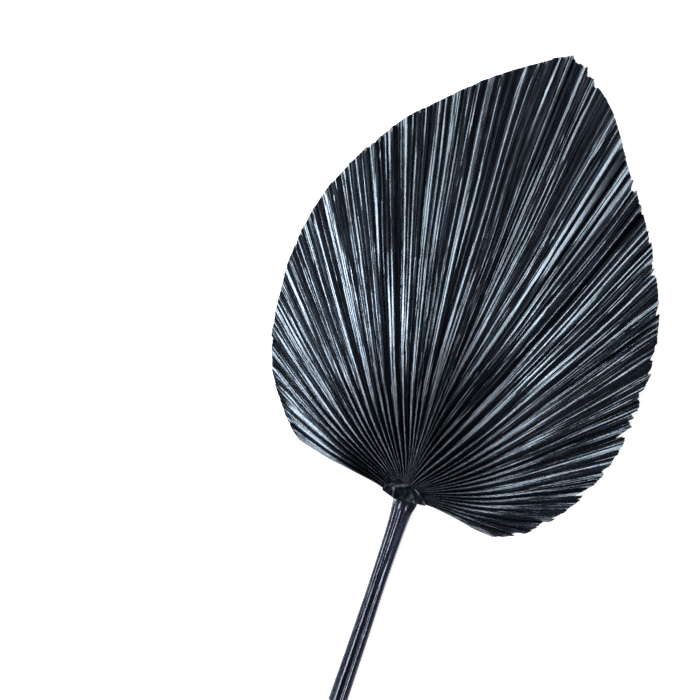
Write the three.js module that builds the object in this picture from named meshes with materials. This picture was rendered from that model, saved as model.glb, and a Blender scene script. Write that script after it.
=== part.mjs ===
// A dried fan palm leaf: a pleated fan blade trimmed to a spade shape, its cut stem, and the
// small flap that grows over the joint of the two.
// Millimetres, +Z up. The leaf lies face up on z = 0 with its tip toward +Y.
import * as THREE from 'three';

// Blade outline: reach of the rim from the point where the pleats would meet, listed from the
// side margin to the tip at even steps of angle. Angles are degrees from the leaf's axis.
const LEFT_MARGIN = -73;
const TIP_ANGLE = 0.5;
const RIGHT_MARGIN = 83;
const LEFT_REACH = [94.2, 147.5, 192.2, 242.4, 288, 332, 381];
const RIGHT_REACH = [381, 356.5, 317.5, 291.5, 268.2, 246, 219.5, 193.5, 174.5, 149, 129.7, 105, 79.5];
const FOCUS_BEHIND_JOINT = 20.4;

// Pleats
const PLEATS = 44;
const FOLD_JITTER = 0.25;
const FOLD_ANGLE_AT_JOINT = 56;
const FOLD_ANGLE_LOSS = 0.085;  // degrees per millimetre of reach
const LEAF_THICKNESS = 0.7;
const ROWS_ALONG = [0, 0.04, 0.09, 0.15, 0.22, 0.31, 0.42, 0.56, 0.7, 0.85, 1];

// Pleat paths: at the joint the pleats are gathered along a short midrib. Each leaves it at a
// reach of its own and bends into its ray, later and more slowly on the right of the midrib.
const MIDRIB_ANGLE = 2;
const MIDRIB_RISE = 3;
const MIDRIB_HALF_ANGLE = 5;
const MIDRIB_END = 200;
const GATHERED = 0.05;          // least share of its own angle that a pleat keeps at the midrib
const LEAVE_LEFT = 22;
const LEAVE_RIGHT = 18;
const LEAVE_SPAN = 80;
const LAST_LEAVE_LEFT = 10;
const LAST_LEAVE_RIGHT = 160;
const BEND_LEFT = 20;
const BEND_RIGHT = 14;
const SLOW_BEND_LEFT = 17;
const SLOW_BEND_RIGHT = 55;
const SEAT_REACH = 19;
const SEAT_AHEAD = 7;           // how much further the seat lies at the midrib
const SEAT_SPAN = 30;
const SEAT_HEIGHT = 8.6;

// Blade lie: a low arch that meets the table at the tip and at both sides
const ARCH = 6;
const RIM_LIFT = 9;
const LIFT_PERIOD = 52;
const LIFT_START = 2;

// Stem stations from the cut end to the tongue under the blade
const STEM_PATH = [
  [10.4, -172.6, 4.3],
  [8.6, -122, 4.35],
  [6.6, -72.6, 4.4],
  [4.9, -30, 4.6],
  [3.8, -10, 4.65],
  [2.8, 2, 4.45],
  [1.4, 16, 5.65],
  [0.4, 32, 6.65],
];
const STEM_HALF_SIZE = [
  [7.3, 4.3],
  [6.9, 4.25],
  [6.6, 4.2],
  [7.4, 3.9],
  [8.8, 3.3],
  [8.4, 2.6],
  [5.6, 1.9],
  [2.2, 1],
];
const STEM_EDGE = 0.28;         // share of the half height left at the sharp side edges
const STEM_CHANNEL_DEPTH = 2;
const STEM_CHANNEL_PLACE = 0.12;    // shares of the half width
const STEM_CHANNEL_WIDTH = 0.34;
const STEM_RINGS = 24;
const STEM_ROW = 17;

// Flap over the joint
const FLAP_CENTRE_X = 2;
const FLAP_HALF_WIDTH = 18;
const FLAP_FRONT = -9.2;
const FLAP_BACK = 7.6;
const FLAP_SEAT = 10.35;
const FLAP_END_RISE = 0.6;
const FLAP_DROOP = 2.6;
const FLAP_EDGE = 0.9;
const FLAP_SWELL = 1.1;
const FLAP_LIP = 1.3;
const FLAP_RINGS = 16;
const FLAP_ROW = 9;

const radians = THREE.MathUtils.degToRad;
const smooth = (low, high, value) => THREE.MathUtils.smoothstep(value, low, high);

// A closed solid through rings. Each ring has an upper row of points and a lower row of as many
// points under it, so the two ends close with strips between the rows.
function loft(rings) {
  const row = rings[0].upper.length;
  const around = 2 * row;
  const points = rings.flatMap((ring) => [...ring.upper, ...ring.lower.toReversed()]);
  const index = [];
  for (let r = 0; r + 1 < rings.length; r += 1) {
    for (let k = 0; k < around; k += 1) {
      const a = r * around + k;
      const b = r * around + (k + 1) % around;
      index.push(a, b + around, b, a, a + around, b + around);
    }
  }
  const last = (rings.length - 1) * around;
  for (let k = 0; k + 1 < row; k += 1) {
    const under = around - 1 - k;
    index.push(k, k + 1, under, k + 1, under - 1, under);
    index.push(last + k, last + under, last + k + 1);
    index.push(last + k + 1, last + under, last + under - 1);
  }
  const geometry = new THREE.BufferGeometry().setFromPoints(points);
  geometry.setIndex(index);
  geometry.computeVertexNormals();
  return geometry;
}

function piece(name, geometry, color, roughness) {
  const material = new THREE.MeshStandardMaterial({ color, roughness, metalness: 0, flatShading: true });
  const mesh = new THREE.Mesh(geometry, material);
  mesh.name = name;
  return mesh;
}

// Rim reach at an angle, from a smooth curve on each side of the tip
const reachCurve = (list) => new THREE.CatmullRomCurve3(
  list.map((reach, step) => new THREE.Vector3(step, reach, 0)),
  false,
  'catmullrom',
);
const leftCurve = reachCurve(LEFT_REACH);
const rightCurve = reachCurve(RIGHT_REACH);

function rimReach(angle) {
  if (angle < TIP_ANGLE) {
    return leftCurve.getPoint((angle - LEFT_MARGIN) / (TIP_ANGLE - LEFT_MARGIN)).y;
  }
  return rightCurve.getPoint((angle - TIP_ANGLE) / (RIGHT_MARGIN - TIP_ANGLE)).y;
}

// Blade: one ring for every fold line, from the left margin round to the right margin
const faces = 2 * PLEATS;
const faceAngle = (RIGHT_MARGIN - LEFT_MARGIN) / faces;

function foldAngle(fold) {
  const inner = fold > 0 && fold < faces;
  const shift = inner ? FOLD_JITTER * Math.sin(2.4 * fold) : 0;
  return LEFT_MARGIN + faceAngle * (fold + shift);
}

const bell = (value, middle, width) => Math.exp(-(((value - middle) / width) ** 2));

// Share of its own angle from the midrib that a pleat has reached
function spreadShare(side, reach) {
  const away = Math.abs(side);
  const fall = 1 - (away / LEAVE_SPAN) ** 2;
  const leave = side < 0
    ? LEAVE_LEFT * fall + LAST_LEAVE_LEFT * Math.exp(-away / 8)
    : LEAVE_RIGHT * fall + LAST_LEAVE_RIGHT * Math.exp(-away / 6);
  const bend = side < 0
    ? BEND_LEFT + SLOW_BEND_LEFT * bell(away, 13, 9)
    : BEND_RIGHT + SLOW_BEND_RIGHT * bell(away, 7, 11) + 6 * (away / 70) ** 2;
  const past = Math.log(1 + Math.exp((4 * (reach - leave)) / bend)) / 4;
  return GATHERED + (1 - GATHERED) * (1 - Math.exp(-past));
}

function pleatAngle(angle, reach, reachEnd) {
  const side = angle - MIDRIB_ANGLE;
  return MIDRIB_ANGLE + (side * spreadShare(side, reach)) / spreadShare(side, reachEnd);
}

function bladeRing(fold) {
  const angle = foldAngle(fold);
  const reachEnd = rimReach(angle);
  const seatReach = SEAT_REACH + SEAT_AHEAD * bell(angle, MIDRIB_ANGLE, SEAT_SPAN);

  const lift = RIM_LIFT * 0.5 * (1 - Math.cos((2 * Math.PI * (angle - LIFT_START)) / LIFT_PERIOD));
  const side = fold % 2 === 0 ? -1 : 1;
  const foldSlope = (reach) => radians(FOLD_ANGLE_AT_JOINT - FOLD_ANGLE_LOSS * reach);
  const faceWidth = (reach) => reach * radians(
    pleatAngle(angle + 0.5 * faceAngle, reach, reachEnd) - pleatAngle(angle - 0.5 * faceAngle, reach, reachEnd),
  );
  const foldHalf = (reach) => 0.5 * faceWidth(reach) * Math.tan(foldSlope(reach));
  const skinHalf = (reach) => 0.5 * LEAF_THICKNESS / Math.cos(foldSlope(reach));

  const rimMiddle = lift + foldHalf(reachEnd) + skinHalf(reachEnd);
  const upper = [];
  const lower = [];
  for (const share of ROWS_ALONG) {
    const reach = THREE.MathUtils.lerp(seatReach, reachEnd, share);
    const way = pleatAngle(angle, reach, reachEnd);
    const x = reach * Math.sin(radians(way));
    const y = reach * Math.cos(radians(way)) - FOCUS_BEHIND_JOINT;
    const arch = ARCH * Math.sin(Math.PI * share) ** 2;
    const onMidrib = bell(way, MIDRIB_ANGLE, MIDRIB_HALF_ANGLE);
    const ridge = MIDRIB_RISE * onMidrib * smooth(35, 75, reach) * smooth(-MIDRIB_END, -110, -reach);
    const middle = THREE.MathUtils.lerp(SEAT_HEIGHT, rimMiddle, share) + arch + ridge;
    const height = middle + side * foldHalf(reach);
    upper.push(new THREE.Vector3(x, y, height + skinHalf(reach)));
    lower.push(new THREE.Vector3(x, y, height - skinHalf(reach)));
  }
  return { upper, lower };
}

const bladeRings = Array.from({ length: faces + 1 }, (_, fold) => bladeRing(fold));

// Stem: a lens section with a shallow channel along its face, flared at the joint and running on
// under the blade as a tapering tongue
const stemPath = new THREE.CatmullRomCurve3(STEM_PATH.map((p) => new THREE.Vector3(...p)), false, 'catmullrom');
const stemSize = new THREE.CatmullRomCurve3(
  STEM_HALF_SIZE.map((p) => new THREE.Vector3(...p, 0)),
  false,
  'catmullrom',
);

function stemRing(step) {
  const share = step / STEM_RINGS;
  const centre = stemPath.getPoint(share);
  const size = stemSize.getPoint(share);
  const upper = [];
  const lower = [];
  for (let k = 0; k < STEM_ROW; k += 1) {
    const u = Math.cos((Math.PI * k) / (STEM_ROW - 1));
    const round = STEM_EDGE + (1 - STEM_EDGE) * Math.sqrt(1 - u * u);
    const inChannel = (u - STEM_CHANNEL_PLACE) / STEM_CHANNEL_WIDTH;
    const channel = STEM_CHANNEL_DEPTH * (size.y / 4.3) * Math.exp(-(inChannel ** 2));
    const x = centre.x + size.x * u;
    upper.push(new THREE.Vector3(x, centre.y, centre.z + size.y * round - channel));
    lower.push(new THREE.Vector3(x, centre.y, centre.z - size.y * round));
  }
  return { upper, lower };
}

const stemRings = Array.from({ length: STEM_RINGS + 1 }, (_, step) => stemRing(step));

// Flap: a thin shield across the joint, its back edge raised to a lip and its front bent down
// on to the stem
function flapRing(step) {
  const u = -Math.cos((Math.PI * step) / FLAP_RINGS) * 0.985;
  const x = FLAP_CENTRE_X + FLAP_HALF_WIDTH * u;
  const round = Math.sqrt(1 - u * u);
  const front = FLAP_FRONT + 3.2 * (1 - round);
  const back = FLAP_FRONT + 3.2 + (FLAP_BACK - FLAP_FRONT - 3.2) * round;
  const upper = [];
  const lower = [];
  for (let k = 0; k < FLAP_ROW; k += 1) {
    const v = k / (FLAP_ROW - 1);
    const y = THREE.MathUtils.lerp(front, back + 0.6, v);
    const overStem = Math.max(0, 1 - (u / 0.6) ** 2);
    const rise = FLAP_END_RISE * u ** 4;
    const under = FLAP_SEAT + rise - FLAP_DROOP * overStem * smooth(0, 7, -2 - y);
    const swell = FLAP_SWELL * round * Math.sin(Math.PI * v);
    const lip = FLAP_LIP * round * smooth(0.7, 0.95, v);
    upper.push(new THREE.Vector3(x, y, under + FLAP_EDGE + swell + lip));
    lower.push(new THREE.Vector3(x, y, under));
  }
  return { upper, lower };
}

const flapRings = Array.from({ length: FLAP_RINGS + 1 }, (_, step) => flapRing(step));

// The three pieces, moved together so that the leaf is centred over the origin and rests on z = 0
const leaf = new THREE.Group();
leaf.name = 'leaf';
leaf.add(
  piece('blade', loft(bladeRings), 0x262a33, 0.42),
  piece('stem', loft(stemRings), 0x1d1f25, 0.45),
  piece('hastula', loft(flapRings), 0x17181d, 0.5),
);
const box = new THREE.Box3().setFromObject(leaf);
const centre = box.getCenter(new THREE.Vector3());
leaf.position.set(-centre.x, -centre.y, -box.min.z);

const part = new THREE.Group();
part.name = 'fan_palm_leaf';
part.add(leaf);

export default part;
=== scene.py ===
import math

import bpy
import numpy as np
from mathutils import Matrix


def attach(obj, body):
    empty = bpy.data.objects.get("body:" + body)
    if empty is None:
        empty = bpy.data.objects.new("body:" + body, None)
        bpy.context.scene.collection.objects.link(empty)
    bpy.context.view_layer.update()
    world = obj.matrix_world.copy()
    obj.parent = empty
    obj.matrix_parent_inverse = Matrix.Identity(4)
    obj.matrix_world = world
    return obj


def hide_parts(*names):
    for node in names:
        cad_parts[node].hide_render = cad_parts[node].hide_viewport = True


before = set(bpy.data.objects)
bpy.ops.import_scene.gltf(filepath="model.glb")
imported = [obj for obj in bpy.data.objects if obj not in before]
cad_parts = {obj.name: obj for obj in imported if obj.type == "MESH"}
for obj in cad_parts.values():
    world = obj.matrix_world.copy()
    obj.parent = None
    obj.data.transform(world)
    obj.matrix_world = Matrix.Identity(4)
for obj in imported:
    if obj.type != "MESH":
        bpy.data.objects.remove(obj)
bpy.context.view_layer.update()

# Blade
# One pleated sheet of dried palm leaf, dyed black, with its rim cut by scissors to a spade shape.
# The pleats are gathered along a short midrib and leave it one after another, steep there and
# slack at the rim. Small folds and fine parallel veins give the sheet a satin look.

MM = 0.001
JOINT = np.array([0.04, -92.09]) * MM
FOCUS_BEHIND_JOINT = 20.4 * MM

# Outline: angles in degrees and reaches from the focus of the pleats
LEFT_MARGIN, TIP_ANGLE, RIGHT_MARGIN = -73.0, 0.5, 83.0
LEFT_REACH = np.array([94.2, 147.5, 192.2, 242.4, 288, 332, 381]) * MM
RIGHT_REACH = np.array([
    381, 356.5, 317.5, 291.5, 268.2, 246, 219.5, 193.5, 174.5, 149, 129.7, 105, 79.5,
]) * MM
SEAT_REACH, SEAT_AHEAD, SEAT_SPAN, SEAT_HEIGHT = 19 * MM, 4.5 * MM, 30.0, 8.6 * MM
ARCH, RIM_LIFT = 6 * MM, 9 * MM
LIFT_PERIOD, LIFT_START = 52.0, 2.0
SHEET_THICKNESS, FLOOR_GAP = 0.5 * MM, 0.05 * MM

# Cut edge: how far faces end askew on a cut of roughness one, and where the cut gets rougher
FACE_SPLIT = 0.58
FACE_END, FACE_SKEW, SCALLOP, SCALLOP_NOISE = 0.7 * MM, 1.7 * MM, 0.7 * MM, 0.18 * MM
CLEAN_CUT = 0.35
ROUGHER_CUT = ((4, 24, 0.9), (34, 46, 0.9), (-40, -66, 0.3))  # first angle, last angle, added
NOTCHES = (  # angle, depth in mm (below nought for a spike), half width in degrees
    (1.0, 2.2, 0.6), (2.7, -2.6, 0.16), (3.25, 3.0, 0.2), (4.2, -1.8, 0.16), (4.8, 2.4, 0.25),
    (14.8, -3.0, 0.18), (15.3, 2.2, 0.3), (26.0, -3.0, 0.16), (26.5, 2.6, 0.3),
    (38.1, 3.0, 0.4), (44.0, 2.6, 0.4), (50.5, 3.4, 0.5), (57.7, 3.2, 0.5),
    (-24.0, 1.4, 0.25), (-41.0, 1.4, 0.3),
)

# Pleats leaving the midrib: each pair is for the left and the right of it
MIDRIB_ANGLE, GATHERED, LEAVE_SHARPNESS = 2.0, 0.05, 4
LEAVE_REACH, LEAVE_SPAN = np.array([22, 18]) * MM, np.array([80, 95])
LATE_REACH, LATE_SPAN = np.array([10, 160]) * MM, np.array([8, 6])
BEND, SLOW_BEND = np.array([20, 14]) * MM, np.array([17, 55]) * MM
SLOW_BEND_AT, SLOW_BEND_SPAN = np.array([13, 7]), np.array([9, 11])
WIDE_BEND, WIDE_BEND_SPAN = np.array([0, 6]) * MM, 70
MIDRIB_RISE, MIDRIB_HALF_ANGLE = 6.0 * MM, 5.0
MIDRIB_COMES, MIDRIB_GOES = (35 * MM, 75 * MM), (110 * MM, 200 * MM)
RIB_HEIGHT, RIB_HALF_WIDTH = 1.1 * MM, 1.1 * MM
RIB_COMES, RIB_GOES = (24 * MM, 32 * MM), (70 * MM, 130 * MM)

# Shape of a pleat: fold angles in degrees, places as shares of its width
PLEATS, VALLEY_SHIFT, VALLEY_WAVE = 44, 0.25, 2.4
FOLD_ANGLE_AT_JOINT, FOLD_ANGLE_AT_RIM, FOLD_FADE = 66.0, 10.0, 128 * MM
RIDGE_PLACE, RIDGE_SPREAD, RIDGE_WANDER, RIDGE_LIMITS = 0.63, 0.06, 0.03, (0.48, 0.76)
BENT_FACE, BENT_MORE_AT_JOINT, BENT_FADE = 1.2, 1.1, (50 * MM, 150 * MM)
SIZE_WANDER, LEAN, LEAN_COMES = 0.14, 0.06, (60 * MM, 150 * MM)
SWAY, SWAY_COMES = 0.16, (0.1, 0.5)
SLOWEST_WAVE = 0.7  # turns along a line

# Mesh: columns in a pleat, rows along it, their crowding at the joint, step between lower rows
ACROSS_PLEAT, ROWS, ROW_CROWDING, UNDER_STEP = 30, 49, 1.15, 2

# Small folds and veins: sizes in columns of the mesh, crests and rises as shares of a fold's width
FOLDS_DRAWN, FIRST_FOLD = 5 * PLEATS, -3.0
FOLD_WIDTH, FOLD_WIDTH_SPREAD, LEAST_FOLD_WIDTH = ACROSS_PLEAT / 4, 0.4, 4
FOLD_CREST, FOLD_RISE, FOLD_RISE_WANDER = (0.5, 0.75), (0.10, 0.48), 0.35
FOLD_DRIFT, FOLDS_COME = 1.2, (40 * MM, 130 * MM)
COLUMNS_PER_VEIN, STEADY_VEIN, COMING_VEIN, VEIN_TURNS = 3, 1.1, 0.7, 0.9
VEINS_COME = (60 * MM, 150 * MM)
COLUMNS_PER_HAIR, HAIR_HEIGHT, HAIRS_COME = 2, 0.7, (130 * MM, 280 * MM)

# Colours of the dye: deep and worn on the open blade, in its patches, and deep and worn at the joint, where
# they are darker as painted shade of the steep, crowded pleats
DEEP_DYE, WORN_DYE = (0.0018, 0.0021, 0.0040, 1), (0.0105, 0.0125, 0.0185, 1)
PATCH_DYE = (0.0115, 0.0107, 0.0195, 1)
DEEP_JOINT_DYE_AND_SHADE, WORN_JOINT_DYE_AND_SHADE = (0.0007, 0.0009, 0.0016, 1), (0.0036, 0.0042, 0.0066, 1)
SATIN_TINT, DULL_TINT = (0.72, 0.86, 1.0, 1), (0.76, 0.86, 1.0, 1)
LEAF_FIBRES, LEAF_VEINS, LEAF_PATCHES = (520, 22, 1), (230, 4, 1), 24
WORN_FROM_TO, PATCH_FROM_TO, PATCH_STRENGTH = (0.38, 0.64), (0.45, 0.75), 0.3
OPEN_FROM_TO, TIP_FROM_TO, TIP_DULLNESS = (0.2, 0.5), (50 * MM, 230 * MM), 0.25
LEAF_ROUGHNESS, ROUGHER_TIP, ROUGHER_PATCH, ROUGHER_FIBRE = 0.245, 0.06, 0.22, 0.32
BLADE_SHARP_ANGLE = 42

rng = np.random.default_rng(11)


def through(values, place):
    """Smooth curve through even-spaced values: a Catmull-Rom cubic in each gap, whose slope at
    every value is half the difference of its two neighbours."""
    v = np.concatenate([[2 * values[0] - values[1]], values, [2 * values[-1] - values[-2]]])
    gap = np.clip(np.floor(place).astype(int), 0, len(values) - 2)
    f = place - gap
    if v.ndim > 1:
        f = f[..., None]
    a, b, c, d = v[gap], v[gap + 1], v[gap + 2], v[gap + 3]
    return b + 0.5 * f * (c - a + f * (2 * a - 5 * b + 4 * c - d + f * (3 * (b - c) + d - a)))


def ease(first, last, value):
    """Smooth step: nought at first, one at last, an S curve between them and flat beyond them."""
    f = np.clip((value - first) / (last - first), 0, 1)
    return f * f * (3 - 2 * f)


def bell(value, middle, width):
    """Bell curve: one at the middle, falling to about a third at one width from it."""
    return np.exp(-(((value - middle) / width) ** 2))


def rim_reach(angle):
    """Reach of the trimmed rim from the pleats' focus: one smooth curve each side of the tip."""
    last_left, last_right = len(LEFT_REACH) - 1, len(RIGHT_REACH) - 1
    left = np.clip((angle - LEFT_MARGIN) / (TIP_ANGLE - LEFT_MARGIN), 0, 1) * last_left
    right = np.clip((angle - TIP_ANGLE) / (RIGHT_MARGIN - TIP_ANGLE), 0, 1) * last_right
    return np.where(angle < TIP_ANGLE, through(LEFT_REACH, left), through(RIGHT_REACH, right))


def spread_share(side, reach):
    """Share of its own angle from the midrib that a pleat has at some reach: small while it lies
    along the midrib, then rising toward one as an exponential from where it leaves. Pleats near
    the midrib leave late, and on its right they bend more slowly."""
    away = np.abs(side)
    right = (side >= 0).astype(int)
    leave = LEAVE_REACH[right] * (1 - (away / LEAVE_SPAN[right]) ** 2)
    leave = leave + LATE_REACH[right] * np.exp(-away / LATE_SPAN[right])
    bend = BEND[right] + SLOW_BEND[right] * bell(away, SLOW_BEND_AT[right], SLOW_BEND_SPAN[right])
    bend = bend + WIDE_BEND[right] * (away / WIDE_BEND_SPAN) ** 2
    past = np.logaddexp(0, LEAVE_SHARPNESS * (reach - leave) / bend) / LEAVE_SHARPNESS
    return GATHERED + (1 - GATHERED) * (1 - np.exp(-past))


def pleat_angle(angle, reach, reach_end):
    """Bearing, from the focus, of a pleat line at some reach; at the rim it is the line's angle."""
    side = angle - MIDRIB_ANGLE
    return MIDRIB_ANGLE + side * spread_share(side, reach) / spread_share(side, reach_end)


columns = PLEATS * ACROSS_PLEAT + 1
column = np.arange(columns)
pleat = column // ACROSS_PLEAT
in_pleat = (column % ACROSS_PLEAT) / ACROSS_PLEAT
face_angle = (RIGHT_MARGIN - LEFT_MARGIN) / (2 * PLEATS)
valley = 2.0 * np.arange(PLEATS + 1)
valley[1:-1] += VALLEY_SHIFT * np.sin(VALLEY_WAVE * valley[1:-1])
angle = np.interp(column / ACROSS_PLEAT, np.arange(PLEATS + 1), LEFT_MARGIN + face_angle * valley)


def slow_noise(count, waves, strength):
    """A random value for each line that changes slowly along it: a few sine waves of random
    phase and size, summed."""
    along = np.linspace(0, 1, ROWS)[None, :]
    total = np.zeros((count, ROWS))
    for wave in range(1, waves + 1):
        size = rng.normal(0, 1 / math.sqrt(wave), (count, 1))
        total += size * np.sin(math.tau * (wave * SLOWEST_WAVE * along + rng.random((count, 1))))
    return strength * total / math.sqrt(waves)


def across_pleats(values):
    """Values given along the valleys, passing evenly from each valley to the next."""
    following = values[np.minimum(pleat + 1, PLEATS)]
    return values[pleat] * (1 - in_pleat)[:, None] + following * in_pleat[:, None]


def cut_rim():
    """Reach of the rim as the scissors left it, for each line of the fan: every face of a pleat
    ends a little short or long and askew, and the few notches and spikes are bell curves."""
    on_right_face = in_pleat > FACE_SPLIT
    face = 2 * pleat + on_right_face
    on_right = (in_pleat - FACE_SPLIT) / (1 - FACE_SPLIT)
    across_face = np.where(on_right_face, on_right, in_pleat / FACE_SPLIT)
    rough = CLEAN_CUT + sum(added * ease(first, last, angle) for first, last, added in ROUGHER_CUT)
    end = rng.normal(0, FACE_END, 2 * PLEATS + 2)[face]
    skew = rng.normal(0, FACE_SKEW, 2 * PLEATS + 2)[face] * (across_face - 0.5)
    scallop = SCALLOP * (0.5 - in_pleat) + rng.normal(0, SCALLOP_NOISE, columns)
    notches = sum(depth * MM * bell(angle, at, width) for at, depth, width in NOTCHES)
    return rim_reach(angle) + rough * (end + skew + scallop) - notches


def pleat_profile(reach):
    """Height across each pleat, nought in its valleys and one at its ridge. The two faces are
    bent so that they steepen toward the valleys, most of all near the joint. The ridge lies past
    the middle and wanders slowly along the pleat."""
    wander = rng.normal(0, RIDGE_SPREAD, (PLEATS + 1, 1)) + slow_noise(PLEATS + 1, 3, RIDGE_WANDER)
    ridge = np.clip(RIDGE_PLACE + wander, *RIDGE_LIMITS)[pleat]
    place = in_pleat[:, None]
    climb = np.where(place < ridge, place / ridge, (1 - place) / (1 - ridge))
    bent = BENT_FACE + BENT_MORE_AT_JOINT * (1 - ease(*BENT_FADE, reach))
    return 1 - (1 - climb) ** bent


def small_folds(reach):
    """Height, in columns of the mesh, of the sharp small folds that run the length of the sheet,
    about four to a pleat. Each climbs from the left and drops faster, with a width, a crest and
    a height of its own; the height and place change slowly along it."""
    spread = rng.lognormal(math.log(FOLD_WIDTH), FOLD_WIDTH_SPREAD, FOLDS_DRAWN)
    width = np.maximum(spread, LEAST_FOLD_WIDTH)
    ends = FIRST_FOLD + np.concatenate([[0], np.cumsum(width)])
    crest = rng.uniform(*FOLD_CREST, FOLDS_DRAWN)
    rise = rng.uniform(*FOLD_RISE, (FOLDS_DRAWN, 1))
    rise = rise * (1 + slow_noise(FOLDS_DRAWN, 3, FOLD_RISE_WANDER))
    place = column[:, None] + across_pleats(slow_noise(PLEATS + 1, 3, FOLD_DRIFT))
    fold = np.clip(np.searchsorted(ends, place, side="right") - 1, 0, FOLDS_DRAWN - 1)
    share = np.clip((place - ends[fold]) / width[fold], 0, 1)
    climb = np.where(share < crest[fold], share / crest[fold], (1 - share) / (1 - crest[fold]))
    height = climb * width[fold] * np.maximum(rise[fold, np.arange(ROWS)[None, :]], 0)
    return height * ease(*FOLDS_COME, reach)


def fine_veins(share, reach):
    """Height, in columns of the mesh, of the veins: straight runs between random heights at
    random lines. One set is steady along its lines, one comes and goes, and a set as fine as
    hair appears toward the rim."""
    knots = np.sort(rng.choice(columns, columns // COLUMNS_PER_VEIN, replace=False))
    steady_height, coming_height = rng.normal(0, 1, (2, len(knots)))
    steady = np.interp(column, knots, steady_height)[:, None]
    wave = np.sin(math.tau * (VEIN_TURNS * share + rng.random()))
    coming = np.interp(column, knots, coming_height)[:, None] * wave
    knots = np.sort(rng.choice(columns, columns // COLUMNS_PER_HAIR, replace=False))
    hair = np.interp(column, knots, rng.normal(0, HAIR_HEIGHT, len(knots)))[:, None]
    veins = (STEADY_VEIN * steady + COMING_VEIN * coming) * ease(*VEINS_COME, reach)
    return veins + hair * ease(*HAIRS_COME, reach)


def blade_rings():
    """Upper and lower skins of the pleated sheet, one ring for each line of the fan.

    A line leaves the midrib and bends into its ray, swaying a little. Along it the height is a
    straight fall from seat to rim, plus a low arch, a ridge and a thin rib along the midrib, and
    the pleat's profile as deep as the fold angle at that reach makes it. Whole pleats lean a
    little, and small folds and veins are added last."""
    seat = SEAT_REACH + SEAT_AHEAD * bell(angle, MIDRIB_ANGLE, SEAT_SPAN)
    rim = cut_rim()
    share = np.linspace(0, 1, ROWS)[None, :] ** ROW_CROWDING
    reach = seat[:, None] + (rim - seat)[:, None] * share

    # Plan: the bearing of each line, and the width of a pleat's face there
    line, rim_line = angle[:, None], rim_reach(angle)[:, None]
    sway = across_pleats(slow_noise(PLEATS + 1, 4, SWAY * face_angle))
    way = pleat_angle(line, reach, rim_line)
    wider = pleat_angle(line + 0.5 * face_angle, reach, rim_line)
    wider = wider - pleat_angle(line - 0.5 * face_angle, reach, rim_line)
    face_width = reach * np.radians(wider)
    turn = np.radians(way + sway * ease(*SWAY_COMES, share) * wider / face_angle)
    plan = np.stack([reach * np.sin(turn), reach * np.cos(turn) - FOCUS_BEHIND_JOINT], -1) + JOINT

    # Folds: the pleats, their lean, and what crosses their faces
    steeper = (FOLD_ANGLE_AT_JOINT - FOLD_ANGLE_AT_RIM) * bell(reach, 0, FOLD_FADE)
    slope = np.radians(FOLD_ANGLE_AT_RIM + steeper)
    depth = face_width * np.tan(slope)
    size = 1 + across_pleats(slow_noise(PLEATS + 1, 3, SIZE_WANDER))
    pleats = (pleat_profile(reach) - 0.5) * depth * size
    lean = across_pleats(slow_noise(PLEATS + 1, 3, LEAN))
    lean = lean * 2 * face_width * ease(*LEAN_COMES, reach)
    column_width = 2 * face_width / ACROSS_PLEAT
    folds = column_width * small_folds(reach)
    veins = column_width * fine_veins(share, reach)

    # Middle of the sheet: seat to rim, arched, with the midrib
    lift = 0.5 * RIM_LIFT * (1 - np.cos(math.tau * (angle - LIFT_START) / LIFT_PERIOD))
    skin = 0.5 * SHEET_THICKNESS / np.cos(slope)
    rim_middle = lift + 0.5 * depth[:, -1] + skin[:, -1]
    arch = ARCH * np.sin(math.pi * share) ** 2
    ridge = MIDRIB_RISE * bell(way, MIDRIB_ANGLE, MIDRIB_HALF_ANGLE)
    ridge *= ease(*MIDRIB_COMES, reach) * (1 - ease(*MIDRIB_GOES, reach))
    rib = RIB_HEIGHT * bell(way, MIDRIB_ANGLE, np.degrees(RIB_HALF_WIDTH / reach))
    rib *= ease(*RIB_COMES, reach) * (1 - ease(*RIB_GOES, reach))
    middle = SEAT_HEIGHT + (rim_middle[:, None] - SEAT_HEIGHT) * share + arch + ridge + rib
    height = np.maximum(middle + pleats + lean + folds + veins, skin + FLOOR_GAP)

    upper = np.concatenate([plan, (height + skin)[..., None]], -1)
    lower = np.concatenate([plan, (height - skin)[..., None]], -1)[:, ::UNDER_STEP]
    return np.concatenate([upper, lower[:, ::-1]], 1), share[0]


def ring_mesh(name, rings, upper_rows, across_map, along_map):
    """Closes rings of points into one body. A ring is an upper row and a lower row with every
    so-many-th point. Four-cornered faces join each ring to the next, and a strip between the two
    rows closes each end. The two maps become its UV map."""
    count, around = rings.shape[:2]
    number = np.arange(count * around).reshape(count, around)
    following = np.roll(number, -1, 1)
    sides = np.stack([number[:-1], number[1:], following[1:], following[:-1]], -1).reshape(-1, 4)
    top, low = number[:, :upper_rows], number[:, upper_rows:][:, ::-1]
    step = (upper_rows - 1) // (low.shape[1] - 1)
    along_top = [top[:, shift:upper_rows - step + shift:step] for shift in range(step + 1)]
    strip = np.stack(along_top + [low[:, 1:], low[:, :-1]], -1)
    mesh = bpy.data.meshes.new(name)
    faces = sides.tolist() + strip[0].tolist() + strip[-1][:, ::-1].tolist()
    mesh.from_pydata(rings.reshape(-1, 3), [], faces)
    corner = np.empty(len(mesh.loops), np.int32)
    mesh.loops.foreach_get("vertex_index", corner)
    chart = np.stack([across_map.ravel(), along_map.ravel()], -1)
    mesh.uv_layers.new(name="UVMap").data.foreach_set("uv", chart[corner].ravel().astype(np.float32))
    mesh.shade_smooth()
    piece = bpy.data.objects.new(name, mesh)
    bpy.context.scene.collection.objects.link(piece)
    return piece


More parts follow.
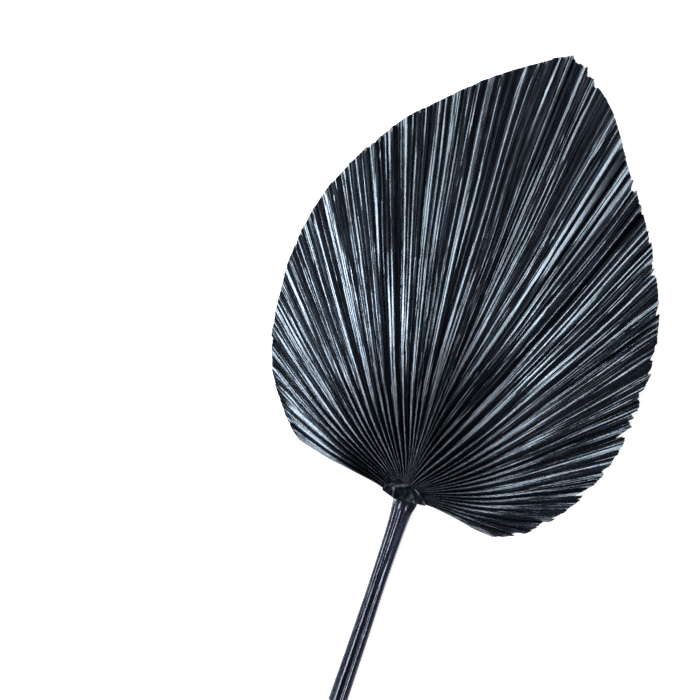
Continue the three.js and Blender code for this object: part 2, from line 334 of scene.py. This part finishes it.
class Pattern:
    """One socket among a material's nodes. Sums, differences and products add Math nodes."""

    def __init__(self, tree, socket=None):
        self.tree = tree
        self.socket = socket

    def node(self, kind, settings=None, sockets=None, output=0):
        """Adds a node: its settings are set first, then its sockets get values or links."""
        made = self.tree.nodes.new(kind)
        for key, value in (settings or {}).items():
            setattr(made, key, value)
        for key, value in (sockets or {}).items():
            if isinstance(value, Pattern):
                self.tree.links.new(value.socket, made.inputs[key])
            else:
                made.inputs[key].default_value = value
        return Pattern(self.tree, made.outputs[output]) if made.outputs else None

    def maths(self, operation, left, right):
        return self.node("ShaderNodeMath", {"operation": operation}, {0: left, 1: right})

    def __add__(self, other):
        return self.maths("ADD", self, other)

    __radd__ = __add__

    def __sub__(self, other):
        return self.maths("SUBTRACT", self, other)

    def __rsub__(self, other):
        return self.maths("SUBTRACT", other, self)

    def __mul__(self, other):
        return self.maths("MULTIPLY", self, other)

    __rmul__ = __mul__

    def step(self, low, high):
        """Nought below low and one above high, with an S curve between."""
        settings = {"interpolation_type": "SMOOTHSTEP"}
        return self.node("ShaderNodeMapRange", settings, {"Value": self, "From Min": low, "From Max": high})

    def noise(self, vector, scale, detail=2.0, roughness=0.5):
        sockets = {"Vector": vector, "Scale": scale, "Detail": detail, "Roughness": roughness}
        return self.node("ShaderNodeTexNoise", None, sockets)

    def stretch(self, vector, size):
        """A vector with each of its parts multiplied by a number of its own."""
        return self.node("ShaderNodeVectorMath", {"operation": "MULTIPLY"}, {0: vector, 1: size})

    def blend(self, amount, low, high):
        """One colour passing into another."""
        return self.node("ShaderNodeMix", {"data_type": "RGBA"}, {0: amount, 6: low, 7: high}, 2)


def new_material(name):
    """A material with no nodes yet, and a pattern to grow them from."""
    material = bpy.data.materials.new(name)
    material.use_nodes = True
    material.node_tree.nodes.clear()
    return material, Pattern(material.node_tree)


def dyed_leaf():
    """Black dye on a veined leaf: streaks along the veins in colour, gloss and relief, larger
    patches where the dye took less, a dull zone at the joint whose darker colour is painted
    shade of the steep, crowded pleats there, and a little less gloss toward the tip, where a
    quarter of that darker, duller surface is mixed in."""
    material, grow = new_material("dyed_leaf")
    chart = grow.node("ShaderNodeUVMap", {"uv_map": "UVMap"})
    solid = grow.node("ShaderNodeTexCoord", None, None, "Object")
    along = grow.node("ShaderNodeSeparateXYZ", None, {0: chart}, 1)
    fibre = grow.noise(grow.stretch(chart, LEAF_FIBRES), 1.0, 3, 0.6)
    vein = grow.noise(grow.stretch(chart, LEAF_VEINS), 1.0, 2, 0.5)
    patch = grow.noise(solid, LEAF_PATCHES, 3, 0.55)
    tip = grow.node("ShaderNodeSeparateXYZ", None, {0: solid}, 1).step(*TIP_FROM_TO)
    open_blade = along.step(*OPEN_FROM_TO) * (1 - TIP_DULLNESS * tip)
    worn = (0.5 * vein + 0.5 * fibre).step(*WORN_FROM_TO)
    colour = grow.blend(worn, DEEP_DYE, WORN_DYE)
    colour = grow.blend(patch.step(*PATCH_FROM_TO) * PATCH_STRENGTH, colour, PATCH_DYE)
    # Near the joint the colour is darker: painted shade of the steep, crowded pleats there.
    joint_dye_and_shade = grow.blend(worn, DEEP_JOINT_DYE_AND_SHADE, WORN_JOINT_DYE_AND_SHADE)
    rough = LEAF_ROUGHNESS + ROUGHER_TIP * tip + ROUGHER_PATCH * (patch - 0.5)
    rough = rough + ROUGHER_FIBRE * (fibre - 0.5)
    relief = 0.6 * fibre + 0.4 * vein
    bump = grow.node("ShaderNodeBump", None, {"Strength": 0.55, "Distance": 0.5 * MM, "Height": relief})
    satin = grow.node("ShaderNodeBsdfPrincipled", None, {
        "Base Color": colour, "Roughness": rough, "Normal": bump,
        "IOR": 2.0, "Specular IOR Level": 0.75, "Specular Tint": SATIN_TINT,
    })
    dull_and_shaded = grow.node("ShaderNodeBsdfPrincipled", None, {
        "Base Color": joint_dye_and_shade, "Roughness": rough, "Normal": bump,
        "IOR": 2.0, "Specular IOR Level": 0.2, "Specular Tint": DULL_TINT,
    })
    # The open blade gets the satin surface; the joint, and a quarter toward the tip, get the duller one
    # whose darker colour is painted shade.
    surface = grow.node("ShaderNodeMixShader", None, {0: open_blade, 1: dull_and_shaded, 2: satin})
    grow.node("ShaderNodeOutputMaterial", None, {"Surface": surface})
    return material


rings, row_share = blade_rings()
row_map = np.concatenate([row_share, row_share[::UNDER_STEP][::-1]])
across_map = np.repeat((column / (columns - 1))[:, None], len(row_map), 1)
blade = ring_mesh("leaf_blade", rings, ROWS, across_map, np.repeat(row_map[None, :], columns, 0))
blade.data.set_sharp_from_angle(angle=math.radians(BLADE_SHARP_ANGLE))
blade.data.materials.append(dyed_leaf())
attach(blade, "root")
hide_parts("blade")

# Stem
# The dried leaf stalk, dyed with the blade: a lens in section with a channel off its middle.
# It flares below the joint, where its ribs fan out, and runs on under the blade as a tongue.
# Its lower end is cut straight across.

STEM_PATH = np.array([
    [10.4, -172.6, 4.3], [8.6, -122, 4.35], [6.6, -72.6, 4.4], [4.9, -30, 4.6],
    [3.8, -10, 4.65], [2.8, 2, 4.45], [1.4, 16, 5.65], [0.4, 32, 6.65],
]) * MM
STEM_HALF_SIZE = np.array([
    [7.3, 4.3], [6.9, 4.25], [6.6, 4.2], [7.4, 3.9], [8.8, 3.3], [8.4, 2.6], [5.6, 1.9], [2.2, 1],
]) * MM
STEM_RINGS, STEM_ACROSS, STEM_SHARP_ANGLE = 150, 97, 65
STEM_EDGE, LEAST_STEM = 0.28, 0.3 * MM

# Sections: pairs of a place across, from the left edge to the right, and a height there
CHANNEL = np.array([
    [-1, 0.28], [-0.97, 0.60], [-0.9, 0.80], [-0.42, 0.89], [-0.27, 1.0], [-0.2, 0.96],
    [-0.08, 0.62], [0.1, 0.50], [0.27, 0.52], [0.4, 0.80], [0.48, 0.88], [0.56, 0.84],
    [0.75, 0.66], [0.9, 0.46], [1, 0.28],
])
FLARE = np.array([
    [-1, 0.28], [-0.97, 0.68], [-0.9, 0.82], [-0.7, 0.83], [-0.6, 0.93], [-0.54, 0.89], [-0.38, 0.90],
    [-0.3, 0.96], [-0.24, 0.92], [-0.14, 0.92], [-0.04, 1.02], [0.03, 0.94], [0.2, 0.90], [0.84, 1.0],
    [0.93, 0.75], [1, 0.28],
])
FLARE_COMES, LENS_COMES = (-115 * MM, -35 * MM), (-19 * MM, -11 * MM)
SHOULDER, SHOULDER_AT, SHOULDER_HALF_LENGTH, SHOULDER_COMES = 1.3 * MM, -8 * MM, 5 * MM, (0.3, 1)
SWELLING, SWELLING_AT, SWELLING_HALF_LENGTH = 0.7 * MM, -13 * MM, 3 * MM
SWOLLEN_RIBS = ((-0.2, 0.13), (0.42, 0.11))  # place across, half width
FIBRES, FIBRE_HEIGHT, COMING_FIBRE, FIBRE_WAVE = 25, 0.05 * MM, 0.6, 23 * MM
DEEP_STALK, WORN_STALK = (0.0050, 0.0054, 0.0100, 1), (0.028, 0.031, 0.058, 1)
STALK_TINT = (0.80, 0.87, 1.0, 1)
STALK_FIBRES, STALK_PATCHES, STALK_WORN_FROM_TO = (56, 9, 1), 60, (0.4, 0.7)
STALK_ROUGHNESS, STALK_ROUGHER_FIBRE, STALK_ROUGHER_PATCH = 0.25, 0.25, 0.2


def stem_rings():
    """Upper and lower rows of the stalk, one ring for each place along its path.

    Low down the upper row is straight runs through the channel's points, below the joint it is
    runs through the flare's points, and under the flap it is a plain round lens. Each passes into
    the next. Fine fibres ripple them all, two ribs end in a small swelling at the flap, and the
    right edge has a shoulder there."""
    place = np.linspace(0, len(STEM_PATH) - 1, STEM_RINGS)
    centre = through(STEM_PATH, place)
    half = through(STEM_HALF_SIZE, place)
    u = np.cos(np.linspace(0, math.pi, STEM_ACROSS))[None, :]
    y = centre[:, 1:2]
    shoulder = SHOULDER * bell(y, SHOULDER_AT, SHOULDER_HALF_LENGTH) * ease(*SHOULDER_COMES, u)
    x = centre[:, :1] + half[:, :1] * u + shoulder
    lens = STEM_EDGE + (1 - STEM_EDGE) * np.sqrt(1 - u * u)
    under_flap = ease(*LENS_COMES, y)
    flare = np.interp(u, *FLARE.T) * (1 - under_flap) + lens * under_flap
    flared = ease(*FLARE_COMES, y)
    section = np.interp(u, *CHANNEL.T) * (1 - flared) + flare * flared
    swollen = sum(bell(u, at, width) for at, width in SWOLLEN_RIBS)
    swelling = SWELLING * swollen * bell(y, SWELLING_AT, SWELLING_HALF_LENGTH)
    knots = np.linspace(-1, 1, FIBRES)
    steady, coming = rng.normal(0, 1, (2, len(knots)))
    fibre = np.interp(u, knots, steady)
    fibre = fibre + COMING_FIBRE * np.interp(u, knots, coming) * np.sin(y / FIBRE_WAVE)
    fibre = FIBRE_HEIGHT * fibre * (1 - u * u)
    top = centre[:, 2:] + half[:, 1:] * section + swelling + fibre
    bottom = centre[:, 2:] - half[:, 1:] * lens
    y = np.repeat(y, STEM_ACROSS, 1)
    upper = np.stack([x + JOINT[0], y + JOINT[1], np.maximum(top, bottom + LEAST_STEM)], -1)
    lower = np.stack([x + JOINT[0], y + JOINT[1], np.maximum(bottom, 0)], -1)
    return np.concatenate([upper, lower[:, ::-1]], 1)


def dyed_stalk():
    """Black dye on a smooth stalk: a purple grey cast, with long fibres in colour and relief."""
    material, grow = new_material("dyed_stalk")
    solid = grow.node("ShaderNodeTexCoord", None, None, "Object")
    chart = grow.node("ShaderNodeUVMap", {"uv_map": "UVMap"})
    fibre = grow.noise(grow.stretch(chart, STALK_FIBRES), 1.0, 3, 0.6)
    patch = grow.noise(solid, STALK_PATCHES, 2, 0.5)
    colour = grow.blend(fibre.step(*STALK_WORN_FROM_TO), DEEP_STALK, WORN_STALK)
    rough = STALK_ROUGHNESS + STALK_ROUGHER_FIBRE * (fibre - 0.5) + STALK_ROUGHER_PATCH * (patch - 0.5)
    bump = grow.node("ShaderNodeBump", None, {"Strength": 0.5, "Distance": 0.4 * MM, "Height": fibre})
    surface = grow.node("ShaderNodeBsdfPrincipled", None, {
        "Base Color": colour, "Roughness": rough, "Normal": bump,
        "IOR": 2.0, "Specular IOR Level": 0.5, "Specular Tint": STALK_TINT,
    })
    grow.node("ShaderNodeOutputMaterial", None, {"Surface": surface})
    return material


rings = stem_rings()
around = np.repeat(np.linspace(0, 1, 2 * STEM_ACROSS)[None, :], STEM_RINGS, 0)
length = np.repeat(np.linspace(0, 1, STEM_RINGS)[:, None], 2 * STEM_ACROSS, 1)
stem = ring_mesh("leaf_stem", rings, STEM_ACROSS, around, length)
stem.data.set_sharp_from_angle(angle=math.radians(STEM_SHARP_ANGLE))
stem.data.materials.append(dyed_stalk())
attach(stem, "root")
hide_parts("stem")

# Hastula
# The small dry flap that grows over the joint of stalk and blade: one thin shield of dull tissue,
# shrunk into a bar, a hollow below it and a crease that runs off to the right.

FLAP_CENTRE, FLAP_HALF_WIDTH, FLAP_SPAN = 2 * MM, 18 * MM, 0.985
FLAP_RINGS, FLAP_ROWS, FLAP_SHARP_ANGLE = 121, 61, 60
FRONT_X = np.array([-16, -12, -5, 13, 20]) * MM
FRONT_Y = np.array([-6.4, -7.6, -9.6, -7.2, -6.4]) * MM
BACK_ENDS, BACK_BULGE, BACK_RIPPLE, BACK_RIPPLE_WAVE = -5.4 * MM, 10.2 * MM, 0.5 * MM, 1.7 * MM
LEAST_FLAP = 0.5 * MM
FLAP_SEAT, FLAP_END_RISE, FLAP_DROOP = 10.35 * MM, 0.6 * MM, 2.6 * MM
DROOP_HALF_SPAN, DROOP_START, DROOP_LENGTH, DROOP_ON_TOP = 0.6, -2 * MM, 7 * MM, 0.55
FLAP_EDGE, LEAST_RISE, SWELL = 0.45 * MM, 0.3 * MM, 0.6 * MM
CREASES = (  # ends across and along from the joint, half width, height, all in mm
    ((-6.6, -1.4), (2.4, 3.0), 1.6, 1.1),
    ((-6.6, -1.4), (-5.2, -9.0), 1.3, 0.5),
    ((4.0, 5.0), (12.5, 1.2), 0.7, 0.65),
    ((12.5, 1.2), (19.5, -4.6), 0.8, 0.35),
    ((9.0, -2.0), (11.5, -7.0), 0.9, 0.2),
    ((-13.5, -3.5), (-8.0, 1.0), 1.0, 0.3),
)
CREASES_FRONT, CREASES_BACK = (0, 0.06), (1, 0.9)
HOLLOW, HOLLOW_AT, HOLLOW_HALF_SIZE = 0.55 * MM, (3.0 * MM, -3.2 * MM), (4.2 * MM, 2.6 * MM)
WRINKLE, WRINKLE_WAVE, WRINKLE_BEND, WRINKLE_BEND_WAVE = 0.12 * MM, 0.9 * MM, 2, 2.1 * MM
WRINKLE_FRONT, WRINKLE_BACK = (0, 0.15), (1, 0.85)
DEEP_SCALE, PALE_SCALE = (0.0014, 0.0022, 0.0031, 1), (0.0044, 0.0067, 0.0095, 1)
SCALE_TINT = (0.75, 0.88, 1.0, 1)
STAINS, GRAINS, PALE_FROM_TO = 260, 1800, (0.35, 0.7)
SCALE_ROUGHNESS, ROUGHER_STAIN, ROUGHER_GRAIN = 0.34, 0.3, 0.15


def ridge_along(x, y, start, end, width):
    """Bell curve of the distance from a straight piece between two ends."""
    start, end = np.array(start) * MM, np.array(end) * MM
    run = end - start
    share = np.clip(((x - start[0]) * run[0] + (y - start[1]) * run[1]) / run.dot(run), 0, 1)
    gap = np.hypot(x - start[0] - share * run[0], y - start[1] - share * run[1])
    return bell(gap, 0, width * MM)


def flap_rings():
    """Upper and lower skins of the flap, one ring for each place across it. The underside is a
    shelf that bends down on to the stalk. The upper side follows about half of that bend and adds
    a thin edge, a low swell, wrinkles, the creases as bell ridges and one hollow."""
    u = -np.cos(np.linspace(0, math.pi, FLAP_RINGS))[:, None] * FLAP_SPAN
    v = np.linspace(0, 1, FLAP_ROWS)[None, :]
    x = FLAP_CENTRE + FLAP_HALF_WIDTH * u
    bulge = np.sqrt(1 - u * u)
    front = np.interp(x, FRONT_X, FRONT_Y)
    back = BACK_ENDS + bulge * (BACK_BULGE + BACK_RIPPLE * np.sin(x / BACK_RIPPLE_WAVE))
    back = np.maximum(back, front + LEAST_FLAP)
    y = front + (back - front) * v
    x = x + 0 * v
    over_stem = np.maximum(0, 1 - (u / DROOP_HALF_SPAN) ** 2)
    droop = FLAP_DROOP * over_stem * ease(0, DROOP_LENGTH, DROOP_START - y)
    under = FLAP_SEAT + FLAP_END_RISE * u ** 4 - droop
    creases = 0
    for start, end, width, height in CREASES:
        creases = creases + height * MM * ridge_along(x, y, start, end, width)
    hollow = bell(x, HOLLOW_AT[0], HOLLOW_HALF_SIZE[0]) * bell(y, HOLLOW_AT[1], HOLLOW_HALF_SIZE[1])
    wrinkle = WRINKLE * np.sin(x / WRINKLE_WAVE + WRINKLE_BEND * np.sin(y / WRINKLE_BEND_WAVE))
    wrinkle = wrinkle * ease(*WRINKLE_FRONT, v) * ease(*WRINKLE_BACK, v)
    swell = SWELL * bulge * np.sin(math.pi * v)
    fade = ease(*CREASES_FRONT, v) * ease(*CREASES_BACK, v)
    rise = FLAP_EDGE + swell + wrinkle + (creases - HOLLOW * hollow) * fade
    upper = np.stack([x, y, under + DROOP_ON_TOP * droop + np.maximum(rise, LEAST_RISE)], -1)
    lower = np.stack([x, y, under + 0 * v], -1)
    return np.concatenate([upper, lower[:, ::-1]], 1) + np.array([*JOINT, 0])


def dry_scale():
    """Dull dark tissue: faint cloudy stains, matt in most places and a little waxy in others."""
    material, grow = new_material("dry_scale")
    solid = grow.node("ShaderNodeTexCoord", None, None, "Object")
    stain = grow.noise(solid, STAINS, 3, 0.6)
    grain = grow.noise(solid, GRAINS, 2, 0.6)
    colour = grow.blend(stain.step(*PALE_FROM_TO), DEEP_SCALE, PALE_SCALE)
    rough = SCALE_ROUGHNESS + ROUGHER_STAIN * (stain - 0.5) + ROUGHER_GRAIN * (grain - 0.5)
    relief = 0.5 * stain + 0.5 * grain
    bump = grow.node("ShaderNodeBump", None, {"Strength": 0.4, "Distance": 0.4 * MM, "Height": relief})
    surface = grow.node("ShaderNodeBsdfPrincipled", None, {
        "Base Color": colour, "Roughness": rough, "Normal": bump,
        "IOR": 2.0, "Specular IOR Level": 0.16, "Specular Tint": SCALE_TINT,
    })
    grow.node("ShaderNodeOutputMaterial", None, {"Surface": surface})
    return material


rings = flap_rings()
around = np.repeat(np.linspace(0, 1, 2 * FLAP_ROWS)[None, :], FLAP_RINGS, 0)
length = np.repeat(np.linspace(0, 1, FLAP_RINGS)[:, None], 2 * FLAP_ROWS, 1)
flap = ring_mesh("leaf_hastula", rings, FLAP_ROWS, around, length)
flap.data.set_sharp_from_angle(angle=math.radians(FLAP_SHARP_ANGLE))
flap.data.materials.append(dry_scale())
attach(flap, "root")
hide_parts("hastula")

# Floor, light and camera
# A pale table under three soft boxes, seen from straight above; the table glows, painted light that keeps
# it white and fills in the leaf's cast shadow. The view is as wide as
# # the photo at its scale, and the camera is turned until the leaf leans as it does there.

FLOOR_HALF_SIZE = 4
PAPER_DARK, PAPER_PALE = (0.78, 0.78, 0.78, 1), (0.80, 0.80, 0.80, 1)
floor_mesh = bpy.data.meshes.new("floor")
floor_corners = [(-1, -1, 0), (1, -1, 0), (1, 1, 0), (-1, 1, 0)]
floor_mesh.from_pydata(FLOOR_HALF_SIZE * np.array(floor_corners), [], [(0, 1, 2, 3)])
floor = bpy.data.objects.new("floor", floor_mesh)
bpy.context.scene.collection.objects.link(floor)
paper, paper_grow = new_material("pale_glowing_paper")
paper_grain = paper_grow.noise(paper_grow.node("ShaderNodeTexCoord", None, None, "Object"), 300, 2)
paper_tone = paper_grow.blend(paper_grain, PAPER_DARK, PAPER_PALE)
# The floor's glow is painted light: it keeps the floor white and fills in the leaf's cast shadow.
paper_surface = paper_grow.node("ShaderNodeBsdfPrincipled", None, {
    "Base Color": paper_tone, "Roughness": 0.9, "Emission Color": (1, 1, 1, 1), "Emission Strength": 0.9,
})
paper_grow.node("ShaderNodeOutputMaterial", None, {"Surface": paper_surface})
floor_mesh.materials.append(paper)

PHOTO_TURN = math.radians(20.87)
PHOTO_PIXELS, PIXEL_SIZE = 700, 0.772 * MM
VIEW_WIDTH = PHOTO_PIXELS * PIXEL_SIZE
VIEW_CENTRE = JOINT + np.array([-77.1, 85.4]) * MM
CAMERA_HEIGHT, LEAF_HEIGHT = 2.4, 8 * MM
SENSOR_WIDTH = 36
camera_data = bpy.data.cameras.new("camera")
camera_data.sensor_width = SENSOR_WIDTH
camera_data.lens = SENSOR_WIDTH * (CAMERA_HEIGHT - LEAF_HEIGHT) / VIEW_WIDTH
camera = bpy.data.objects.new("camera", camera_data)
camera.location = (*VIEW_CENTRE, CAMERA_HEIGHT)
camera.rotation_euler = (0, 0, PHOTO_TURN)
bpy.context.scene.collection.objects.link(camera)
bpy.context.scene.camera = camera

LAMPS_FACE = np.array([0, 0.04, 0])
ROOM_COLOUR, ROOM_LIGHT = (0.93, 0.96, 1.0, 1), 0.022


def soft_box(name, bearing, elevation, distance, size, radiance, tint):
    """A flat lamp that faces the middle of the leaf. Bearing is degrees clockwise from the
    picture's top, and its power gives the stated brightness over its face."""
    way = math.radians(bearing) - PHOTO_TURN
    rise = math.radians(elevation)
    data = bpy.data.lights.new(name, "AREA")
    data.shape = "RECTANGLE"
    data.size, data.size_y = size
    data.energy = radiance * math.pi * size[0] * size[1]
    data.color = tint
    lamp = bpy.data.objects.new(name, data)
    out = np.array([math.sin(way) * math.cos(rise), math.cos(way) * math.cos(rise), math.sin(rise)])
    lamp.location = LAMPS_FACE + distance * out
    lamp.rotation_euler = (math.pi / 2 - rise, 0, math.pi - way)
    bpy.context.scene.collection.objects.link(lamp)


soft_box("window", -116, 35, 1.8, (1.7, 0.7), 9.2, (0.93, 0.96, 1.0))
soft_box("side", -67, 36, 1.9, (1.7, 0.7), 6.9, (0.94, 0.97, 1.0))
soft_box("top", -11, 37, 1.9, (1.9, 0.7), 6.0, (0.95, 0.97, 1.0))

world = bpy.data.worlds.new("room")
world.use_nodes = True
world.node_tree.nodes["Background"].inputs["Color"].default_value = ROOM_COLOUR
world.node_tree.nodes["Background"].inputs["Strength"].default_value = ROOM_LIGHT
bpy.context.scene.world = world
bpy.context.scene.view_settings.view_transform = "Standard"
